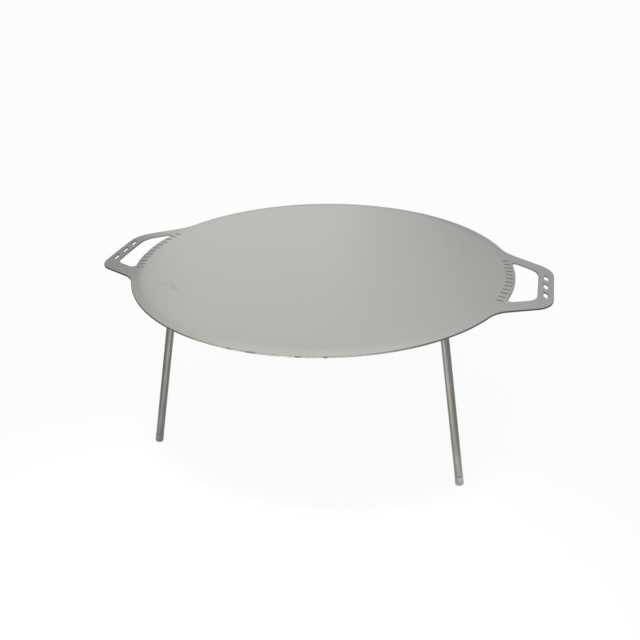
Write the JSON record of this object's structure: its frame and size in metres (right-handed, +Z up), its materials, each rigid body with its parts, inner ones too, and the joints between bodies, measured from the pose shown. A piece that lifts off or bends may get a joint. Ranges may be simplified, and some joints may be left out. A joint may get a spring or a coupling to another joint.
{
  "type": "camp griddle plate",
  "caption": "Round steel camp griddle with a turned-down rim and cut-out handles, standing on splayed tube legs that screw into welded sockets, for cooking over a fire.",
  "frame": {"origin": "on the ground under the middle of the plate", "axes": "+X through the right handle, +Y towards the third leg, away from the cook, +Z up"},
  "size_m": [0.689, 0.58, 0.2736],
  "materials": {
    "plate_steel": "bare sheet steel, matt and finely grained",
    "socket_steel": "turned steel, darkened by welding heat",
    "weld_metal": "rippled weld, partly blued",
    "leg_steel": "drawn steel tube, satin, streaked along its length",
    "stud_steel": "bright rolled thread",
    "foot_steel": "bright turned steel"
  },
  "bodies": {
    "griddle": {"griddle_plate": "plate_steel", "leg_socket_1": "socket_steel", "leg_socket_2": "socket_steel", "leg_socket_3": "socket_steel", "weld_bead_1": "weld_metal", "weld_bead_2": "weld_metal", "weld_bead_3": "weld_metal"},
    "leg_1": {"leg_tube_1": "leg_steel", "leg_stud_1": "stud_steel", "foot_plug_1": "foot_steel"},
    "leg_2": {"leg_tube_2": "leg_steel", "leg_stud_2": "stud_steel", "foot_plug_2": "foot_steel"},
    "leg_3": {"leg_tube_3": "leg_steel", "leg_stud_3": "stud_steel", "foot_plug_3": "foot_steel"}
  },
  "joints": [
    {"name": "leg_1_unscrew", "type": "slide", "parent": "griddle", "child": "leg_1", "axis": [-0.1578, -0.0911, -0.9833], "range_m": [0, 0.02]},
    {"name": "leg_2_unscrew", "type": "slide", "parent": "griddle", "child": "leg_2", "axis": [0.1578, -0.0911, -0.9833], "range_m": [0, 0.02]},
    {"name": "leg_3_unscrew", "type": "slide", "parent": "griddle", "child": "leg_3", "axis": [0, 0.1822, -0.9833], "range_m": [0, 0.02]}
  ]
}
